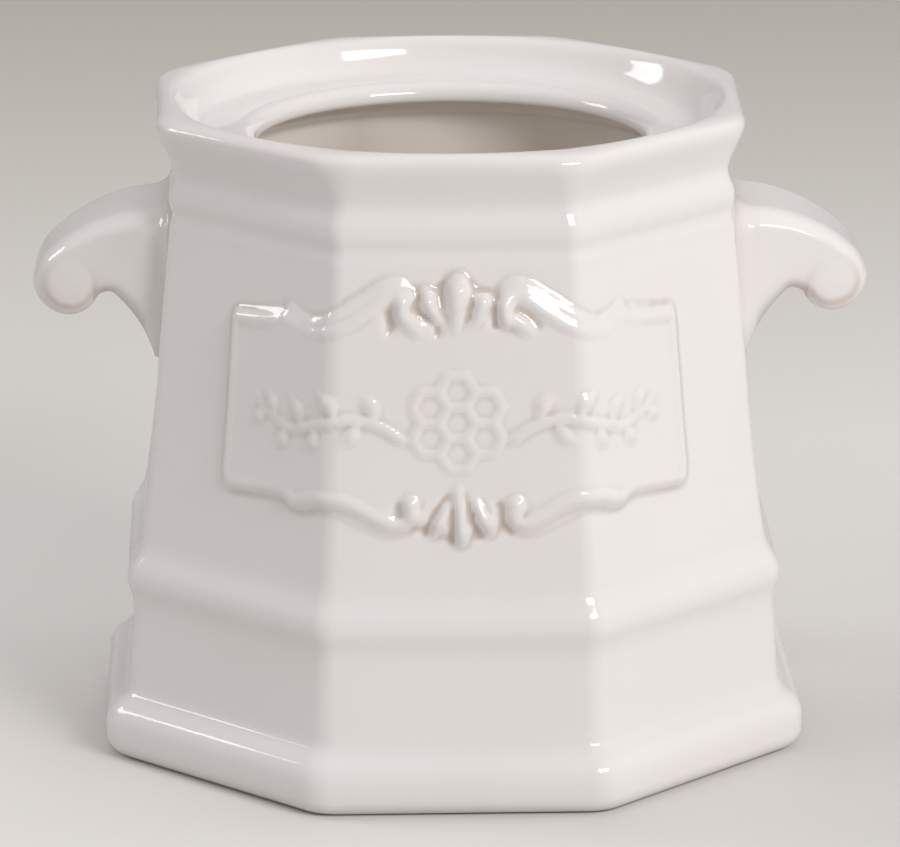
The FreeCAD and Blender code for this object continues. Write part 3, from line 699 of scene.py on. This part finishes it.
def lug_paths():
    """The lug's side view: its back with the roll, and its underside up to where they meet."""
    foot = (SCROLL[0] - 0.6, SCROLL[1] - SCROLL_RADIUS + 0.03)
    back = np.vstack([[LUG_TOP], bow(LUG_TOP, CROWN, -26.0, 60),
                      bow(CROWN, (LUG_TIP, SCROLL[1]), -8.8, 30),
                      bow((LUG_TIP, SCROLL[1]), foot, -SCROLL_RADIUS - 0.1, 40)])
    start = math.pi - math.asin((UNDER_CENTRE[1] - UNDER_FOOT) / UNDER_RADIUS)
    stop = math.atan2(NOTCH[1] - UNDER_CENTRE[1], NOTCH[0] - UNDER_CENTRE[0])
    turn = np.linspace(start, stop, 60)
    under = np.column_stack([UNDER_CENTRE[0] + UNDER_RADIUS * np.cos(turn),
                             UNDER_CENTRE[1] + UNDER_RADIUS * np.sin(turn)])
    under = np.vstack([under, bow(NOTCH, ROLL_END, -2.4, 12),
                       bow(ROLL_END, foot, SCROLL_RADIUS, 14)])
    return back, under


def lug_half_width(across):
    share = np.clip((across - LUG_ROOT) / (LUG_TIP - LUG_ROOT), 0, 1)
    return LUG_ROOT_HALF + (LUG_TIP_HALF - LUG_ROOT_HALF) * share


def lug_loop(top, low, outline):
    """One closed loop round the lug, from its back down one side, under it and up the other."""
    share = (1 - np.cos(np.linspace(0, math.pi, DOWN))) / 2
    side = np.array(top) + (np.array(low) - top) * share[:, None]
    gap = to_path(side, outline)[0]
    along = np.clip((side[:, 0] - LUG_ROOT) / (SCROLL[0] - LUG_ROOT), 0, 1)
    across = EDGE_ACROSS[0] + (EDGE_ACROSS[1] - EDGE_ACROSS[0]) * along
    deep = EDGE_IN[0] + (EDGE_IN[1] - EDGE_IN[0]) * along
    rounded = 1 - np.sqrt(1 - np.clip(1 - gap / deep, 0, 1) ** 2)
    half = lug_half_width(side[:, 0]) - across * rounded
    eye = np.hypot(side[:, 0] - EYE[0], side[:, 1] - EYE[1])
    bearing = np.arctan2(side[:, 1] - EYE[1], side[:, 0] - EYE[0])
    fade = 0.5 + 0.5 * np.cos(bearing - GROOVE_DEEPEST)
    groove = EYE_GROOVE * np.exp(-((eye - EYE_RADIUS) / GROOVE_WIDTH) ** 2) * fade
    dome = EYE_DOME * np.clip(1 - (eye / EYE_RADIUS) ** 2, 0, 1)
    sunk = np.clip(gap / EYE_CLEAR, 0, 1)
    half = half + (dome - groove) * sunk
    over = np.linspace(-1, 1, OVER + 2)[1:-1]
    crown = np.column_stack([np.full(OVER, top[0]), over * half[0], np.full(OVER, top[1])])
    belly = np.column_stack([np.full(OVER, low[0]), -over * half[-1], np.full(OVER, low[1])])
    right = np.column_stack([side[:, 0], half, side[:, 1]])
    left = right[::-1] * [1, -1, 1]
    # Painted shade along the lug's underside, and glaze pooling with painted shade in the eye's
    # groove.
    below = np.clip((low[1] + UNDER_SHADE_BAND - side[:, 1]) / UNDER_SHADE_BAND, 0, 1)
    below = below * (side[:, 0] < EYE[0] - EYE_RADIUS)
    pool_shade = (EYE_POOL_SHADE * groove * sunk / EYE_GROOVE
              + UNDER_SHADE * below * np.exp(-(gap / UNDER_SHADE_SPREAD) ** 2))
    hollow = np.concatenate([np.zeros(OVER), pool_shade, np.zeros(OVER), pool_shade[::-1]])
    return np.vstack([crown, right, belly, left]), hollow


def on_path(path, places):
    """Points at these distances along a path."""
    reach = travelled(path)
    return np.column_stack([np.interp(places, reach, column) for column in path.T])


def reach_of(path, spot):
    """How far along a path its nearest corner to a spot is."""
    return travelled(path)[np.argmin(np.hypot(*(path - np.array(spot)).T))]


def lug_flare(base):
    """Rings that grow from a loop of the lug outwards to the pot, where they lie flat on it."""
    ahead, behind = np.roll(base, -1, 0), np.roll(base, 1, 0)
    tangent = ahead - behind
    normal = np.column_stack([np.zeros(len(base)), tangent[:, 2], -tangent[:, 1]])
    normal /= np.maximum(np.linalg.norm(normal, axis=1), 1e-9)[:, None]
    if ((base - base.mean(0)) * normal).sum() < 0:
        normal = -normal
    heights = np.linspace(UNDER_FOOT + 0.1, 70.0, 60)
    under = UNDER_CENTRE[0] - np.sqrt(UNDER_RADIUS ** 2 - (heights - UNDER_CENTRE[1]) ** 2)
    clear = under - panel_flat(heights)
    top, low = base[:, 2].max(), base[:, 2].min()
    rings, hollows = [], []
    for angle in np.radians(np.linspace(90, 0, FLARE_STEPS)[:-1]):
        stand, spread = BLEND * (1 - math.sin(angle)), BLEND * (1 - math.cos(angle))
        foot = np.interp(stand, clear, heights) - FOOT_EASE * math.exp(-stand / FOOT_FADE)
        ring = base.copy()
        ring[:, 1] += normal[:, 1] * spread
        ring[:, 2] = top - (top - base[:, 2]) * (top - foot) / (top - low)
        ring[:, 2] += np.clip(normal[:, 2], 0, 1) * spread * FLARE_RISE
        own = base[:, 0] - panel_flat(base[:, 2]) - BLEND
        ring[:, 0] = panel_flat(ring[:, 2]) + stand + own * (1 - math.sin(angle))
        rings.append(ring)
        # painted shade with glaze pooling, darkest nearest the pot
        hollows.append(np.full(len(base), FLARE_POOL_SHADE * math.sin(angle) ** 2))
    buried = rings[0] - [BURIED, 0, 0]
    return [buried] + rings, [hollows[0]] + hollows


def make_lug(name, way, glaze):
    """One scroll lug; way is 1 on the right and -1 on the left."""
    back, under = lug_paths()
    outline = np.vstack([back, under[::-1]])
    clear_back = back[:, 0] - panel_flat(back[:, 1])
    clear_under = under[:, 0] - panel_flat(under[:, 1])
    back_marks = [reach_of(back, back[np.argmax(clear_back >= BLEND)]), reach_of(back, ABOVE_NOTCH),
                  reach_of(back, (LUG_TIP, SCROLL[1])), reach_of(back, back[-1]) - LOOP_END]
    under_marks = [reach_of(under, under[np.argmax(clear_under >= BLEND)]), reach_of(under, NOTCH),
                   reach_of(under, ROLL_END), reach_of(under, under[-1]) - LOOP_END]
    times = np.concatenate([[0]] + [
        np.linspace(k, k + 1, count)[1:] for k, count in enumerate(LOOPS)])
    tops = on_path(back, np.interp(times, range(4), back_marks))
    lows = on_path(under, np.interp(times, range(4), under_marks))
    pairs = [lug_loop(top, low, outline) for top, low in zip(tops, lows)]
    flare, flare_hollow = lug_flare(pairs[0][0])
    loops = flare + [points for points, _ in pairs]
    hollows = flare_hollow + [hollow for _, hollow in pairs]
    size = len(loops[0])
    here = np.arange(len(loops) * size).reshape(-1, size)
    after = np.roll(here, -1, 1)
    quads = np.stack([here[:-1], after[:-1], after[1:], here[1:]], -1).reshape(-1, 4)
    faces = [tuple(quad) for quad in quads.tolist()]
    faces += [tuple(here[0].tolist())[::-1], tuple(here[-1].tolist())]
    points = np.vstack(loops) * [way, 1, 1]
    mesh = new_mesh(name, points * MM, faces, {"hollow": np.concatenate(hollows)})
    shell = bmesh.new()
    shell.from_mesh(mesh)
    bmesh.ops.remove_doubles(shell, verts=shell.verts, dist=0.02 * MM)
    bmesh.ops.recalc_face_normals(shell, faces=shell.faces)
    for face in shell.faces:
        face.smooth = True
    shell.to_mesh(mesh)
    shell.free()
    mesh.materials.append(glaze)
    return new_piece(name, mesh)


# ---------------------------------------------------------------- finishes

GLAZE = (0.86, 0.828, 0.812)
POOL_AND_SHADE = (0.47, 0.36, 0.26)    # glaze lying deep in a hollow, darkened as painted shade
BLUSH = (0.825, 0.775, 0.755)  # slow drifts of warmer glaze
# painted light: the chamber's paler, warmer colour stands in for light bouncing inside it
CHAMBER_BOUNCE_LIGHT = (0.95, 0.895, 0.835)
SPECK = (0.20, 0.13, 0.08)
GLAZE_IOR = 1.52
RIPPLE_STRENGTH, RIPPLE_DEPTH = 0.35, 0.0002


def group(name, inputs, outputs):
    """An empty shader group with named inputs and outputs."""
    tree = bpy.data.node_groups.new(name, "ShaderNodeTree")
    for label, kind, value in inputs:
        socket = tree.interface.new_socket(label, in_out="INPUT", socket_type=kind)
        socket.default_value = value
    for label, kind in outputs:
        tree.interface.new_socket(label, in_out="OUTPUT", socket_type=kind)
    wires = Wires(tree)
    return wires, wires.node("NodeGroupInput"), wires.node("NodeGroupOutput")


def glaze_group():
    """Glaze that turns warm and dark in hollows, as glaze pooling and painted shade, and drifts a
    little in tint.
    """
    wires, given, done = group("pooled_glaze_and_shade", [
        ("Glaze", "NodeSocketColor", (0.84, 0.82, 0.79, 1)),
        ("Pool and shade", "NodeSocketColor", (0.6, 0.5, 0.4, 1)),
        ("Blush", "NodeSocketColor", (0.8, 0.74, 0.7, 1)),
        ("Hollow", "NodeSocketFloat", 0.0),
        ("Pool shading", "NodeSocketFloat", 0.58),
        ("Drift scale", "NodeSocketFloat", 30.0),
        ("Ripple scale", "NodeSocketFloat", 260.0)], [
        ("Colour", "NodeSocketColor"), ("Roughness", "NodeSocketFloat"),
        ("Height", "NodeSocketFloat")])
    place = wires.node("ShaderNodeTexCoord").outputs["Object"]
    drift_scale, ripple_scale = given.outputs["Drift scale"], given.outputs["Ripple scale"]

    def noise(scale, detail):
        return wires.node("ShaderNodeTexNoise", {
            "Vector": place, "Scale": scale, "Detail": detail}).outputs[0]

    drift, fine = noise(drift_scale, 2.0), noise(wires.times(drift_scale, 6.0), 3.0)
    blush = wires.times(wires.ramp(drift, [(0.42, 0.0), (0.66, 1.0)]), 0.3)
    tinted = wires.colour_mix(blush, given.outputs["Glaze"], given.outputs["Blush"])
    # Hollows mix towards the dark pool colour: glaze pooling and painted shade.
    deep = wires.maths("MAXIMUM", given.outputs["Hollow"], 0.0)
    pool_shade = wires.times(deep, given.outputs["Pool shading"])
    broken = wires.times(pool_shade, wires.blend(fine, 0.75, 1.25))
    colour = wires.colour_mix(wires.maths("MINIMUM", broken, 0.9), tinted, given.outputs["Pool and shade"])
    wires.put(done.inputs["Colour"], colour)
    wires.put(done.inputs["Roughness"], wires.blend(fine, 0.05, 0.11))
    ripple, slow = noise(ripple_scale, 1.0), noise(wires.times(ripple_scale, 0.3), 0.0)
    wires.put(done.inputs["Height"], wires.add(wires.times(ripple, 0.25), slow))
    return wires.tree


def speck_group():
    """Iron specks: a few tiny round spots, each in its own cell of the glaze."""
    wires, given, done = group("iron_specks", [
        ("Scale", "NodeSocketFloat", 120.0),
        ("Share", "NodeSocketFloat", 0.04),
        ("Size", "NodeSocketFloat", 0.06)], [("Mask", "NodeSocketFloat")])
    place = wires.node("ShaderNodeTexCoord").outputs["Object"]
    cells = wires.node("ShaderNodeTexVoronoi", {"Vector": place, "Scale": given.outputs["Scale"]})
    chosen = wires.node("ShaderNodeSeparateColor", {0: cells.outputs["Color"]})
    few = wires.maths("LESS_THAN", chosen.outputs[0], given.outputs["Share"])
    size = wires.times(given.outputs["Size"], wires.add(chosen.outputs[1], 0.5))
    near = wires.maths("LESS_THAN", cells.outputs["Distance"], size)
    wires.put(done.inputs["Mask"], wires.times(few, near))
    return wires.tree


def glazed(name, glaze_tree, speck_tree, inner):
    """The white glaze; inner also paints the chamber paler and warmer, as painted light for light
    bouncing inside it.
    """
    material = bpy.data.materials.new(name)
    material.use_nodes = True
    tree = material.node_tree
    tree.nodes.clear()
    wires = Wires(tree)
    hollow = wires.node("ShaderNodeAttribute", attribute_name="hollow").outputs["Fac"]
    coat = wires.node("ShaderNodeGroup", node_tree=glaze_tree)
    wires.put(coat.inputs["Glaze"], (*GLAZE, 1))
    wires.put(coat.inputs["Pool and shade"], (*POOL_AND_SHADE, 1))
    wires.put(coat.inputs["Blush"], (*BLUSH, 1))
    wires.put(coat.inputs["Hollow"], hollow)
    specks = wires.node("ShaderNodeGroup", node_tree=speck_tree)
    colour = coat.outputs["Colour"]
    if inner:
        # painted light: the chamber turns paler and warmer
        within = wires.node("ShaderNodeAttribute", attribute_name="within").outputs["Fac"]
        colour = wires.colour_mix(within, colour, (*CHAMBER_BOUNCE_LIGHT, 1))
    colour = wires.colour_mix(specks.outputs["Mask"], colour, (*SPECK, 1))
    bump = wires.node("ShaderNodeBump", {
        "Strength": RIPPLE_STRENGTH, "Distance": RIPPLE_DEPTH, "Height": coat.outputs["Height"]})
    shader = wires.node("ShaderNodeBsdfPrincipled", {
        "Base Color": colour, "Roughness": coat.outputs["Roughness"], "Normal": bump.outputs[0]})
    shader.inputs["IOR"].default_value = GLAZE_IOR
    wires.node("ShaderNodeOutputMaterial", {"Surface": shader.outputs[0]})
    return material


# ---------------------------------------------------------------- stage, lights and camera

FLOOR_NEAR = (0.86, 0.835, 0.81, 1)
# painted shade: the far colour darkens the sweep behind the pot
FLOOR_FAR_SHADE = (0.63, 0.60, 0.53, 1)
FLOOR_BOUNCE = (0.66, 0.64, 0.63, 1)      # what it throws back on the pot


def make_stage():
    """A pale floor that sweeps up behind."""
    wide, near, bend, far, tall = 1.6, -1.2, 0.9, 1.3, 1.6
    path = [(near, 0.0), (bend, 0.0)]
    path += [(bend + (far - bend) * math.sin(t), (far - bend) * (1 - math.cos(t)))
             for t in np.linspace(0, math.pi / 2, 16)[1:]]
    path.append((far, tall))
    points = [(x, y, z) for y, z in path for x in (-wide, wide)]
    faces = [(2 * k, 2 * k + 1, 2 * k + 3, 2 * k + 2) for k in range(len(path) - 1)]
    mesh = new_mesh("floor_sweep", points, faces)
    for face in mesh.polygons:
        face.use_smooth = True
    material = bpy.data.materials.new("pale_paper")
    material.use_nodes = True
    wires = Wires(material.node_tree)
    shader = material.node_tree.nodes["Principled BSDF"]
    place = wires.node("ShaderNodeTexCoord").outputs["Object"]
    split = wires.node("ShaderNodeSeparateXYZ", {0: place})
    # painted shade: darker further back, and a little darker to the right behind the pot
    depth = wires.ramp(
        wires.maths("MULTIPLY_ADD", split.outputs[1], 1.9, -0.22), [(0.0, 0.0), (1.0, 1.0)])
    beside = wires.ramp(
        wires.maths("MULTIPLY_ADD", split.outputs[0], 6.0, 0.5), [(0.0, 1.0), (1.0, 0.8)])
    behind = wires.ramp(wires.times(split.outputs[1], 6.0), [(0.0, 0.0), (1.0, 1.0)])
    across = wires.blend(behind, beside, 1.0)
    away = wires.colour_mix(depth, FLOOR_NEAR, FLOOR_FAR_SHADE)
    seen_painted = wires.colour_mix(1.0, away, across, "MULTIPLY")
    # Painted light: the camera sees the floor paler than the colour it throws back on the pot.
    looked_at = wires.node("ShaderNodeLightPath").outputs["Is Camera Ray"]
    wires.put(shader.inputs["Base Color"], wires.colour_mix(looked_at, FLOOR_BOUNCE, seen_painted))
    shader.inputs["Roughness"].default_value = 0.6
    shader.inputs["Specular IOR Level"].default_value = 0.2
    mesh.materials.append(material)
    floor = new_piece("floor_sweep", mesh)


def softbox(name, place, target, wide, tall, watts, tint=(1, 1, 1), mirrored=True):
    """An area light; one that is not mirrored lights the glaze without a glint of its own."""
    lamp = bpy.data.lights.new(name, "AREA")
    lamp.shape = "RECTANGLE"
    lamp.size, lamp.size_y = wide, tall
    lamp.energy = watts
    lamp.color = tint
    stand = bpy.data.objects.new(name, lamp)
    bpy.context.scene.collection.objects.link(stand)
    stand.location = place
    stand.rotation_euler = (Vector(target) - Vector(place)).to_track_quat("-Z", "Y").to_euler()
    stand.visible_glossy = mirrored


def make_lights():
    middle = (0, 0, 0.05)
    softbox("key", (0.49, -0.67, 0.57), middle, 0.46, 0.2, 4.2, (1, 0.985, 0.98))
    softbox("left_back", (-0.82, 0.23, 0.5), middle, 0.3, 0.2, 1.3)
    softbox("overhead", (0.0, 0.12, 0.95), middle, 0.5, 0.4, 1.4, mirrored=False)
    softbox("right_side", (0.88, 0.16, 0.35), middle, 0.4, 0.4, 1.2, mirrored=False)
    softbox("front", (-0.12, -0.85, 0.55), middle, 0.5, 0.3, 0.15, mirrored=False)
    world = bpy.data.worlds.new("room")
    bpy.context.scene.world = world
    world.use_nodes = True
    room = world.node_tree.nodes["Background"]
    room.inputs["Color"].default_value = (1, 0.985, 0.98, 1)
    room.inputs["Strength"].default_value = 0.43


LENS, SENSOR = 253.88, 36
CAMERA_REACH = 1.004
CAMERA_RISE = math.radians(15.26)
CAMERA_TURN = math.radians(-1.12)
CAMERA_ROLL = math.radians(-0.07)
AIM = 0.0473


def make_camera():
    lens = bpy.data.cameras.new("camera")
    lens.sensor_width = SENSOR
    lens.lens = LENS
    lens.clip_start = 0.05
    camera = bpy.data.objects.new("camera", lens)
    bpy.context.scene.collection.objects.link(camera)
    aim = Vector((0, 0, AIM))
    level = CAMERA_REACH * math.cos(CAMERA_RISE)
    camera.location = aim + Vector((
        level * math.sin(CAMERA_TURN), -level * math.cos(CAMERA_TURN),
        CAMERA_REACH * math.sin(CAMERA_RISE)))
    look = (aim - camera.location).to_track_quat("-Z", "Y").to_matrix().to_4x4()
    camera.rotation_euler = (look @ Matrix.Rotation(CAMERA_ROLL, 4, "Z")).to_euler()
    bpy.context.scene.camera = camera


# ---------------------------------------------------------------- the scene

make_camera()
glaze_tree, speck_tree = glaze_group(), speck_group()
pot_glaze = glazed("white_glaze_pot", glaze_tree, speck_tree, True)
lug_glaze = glazed("white_glaze_lug", glaze_tree, speck_tree, False)
for piece in (make_pot(pot_glaze), make_lug("lug_right", 1, lug_glaze),
              make_lug("lug_left", -1, lug_glaze)):
    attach(piece, "root")
    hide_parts(NODE)
make_stage()
make_lights()
bpy.context.scene.view_settings.view_transform = "Standard"
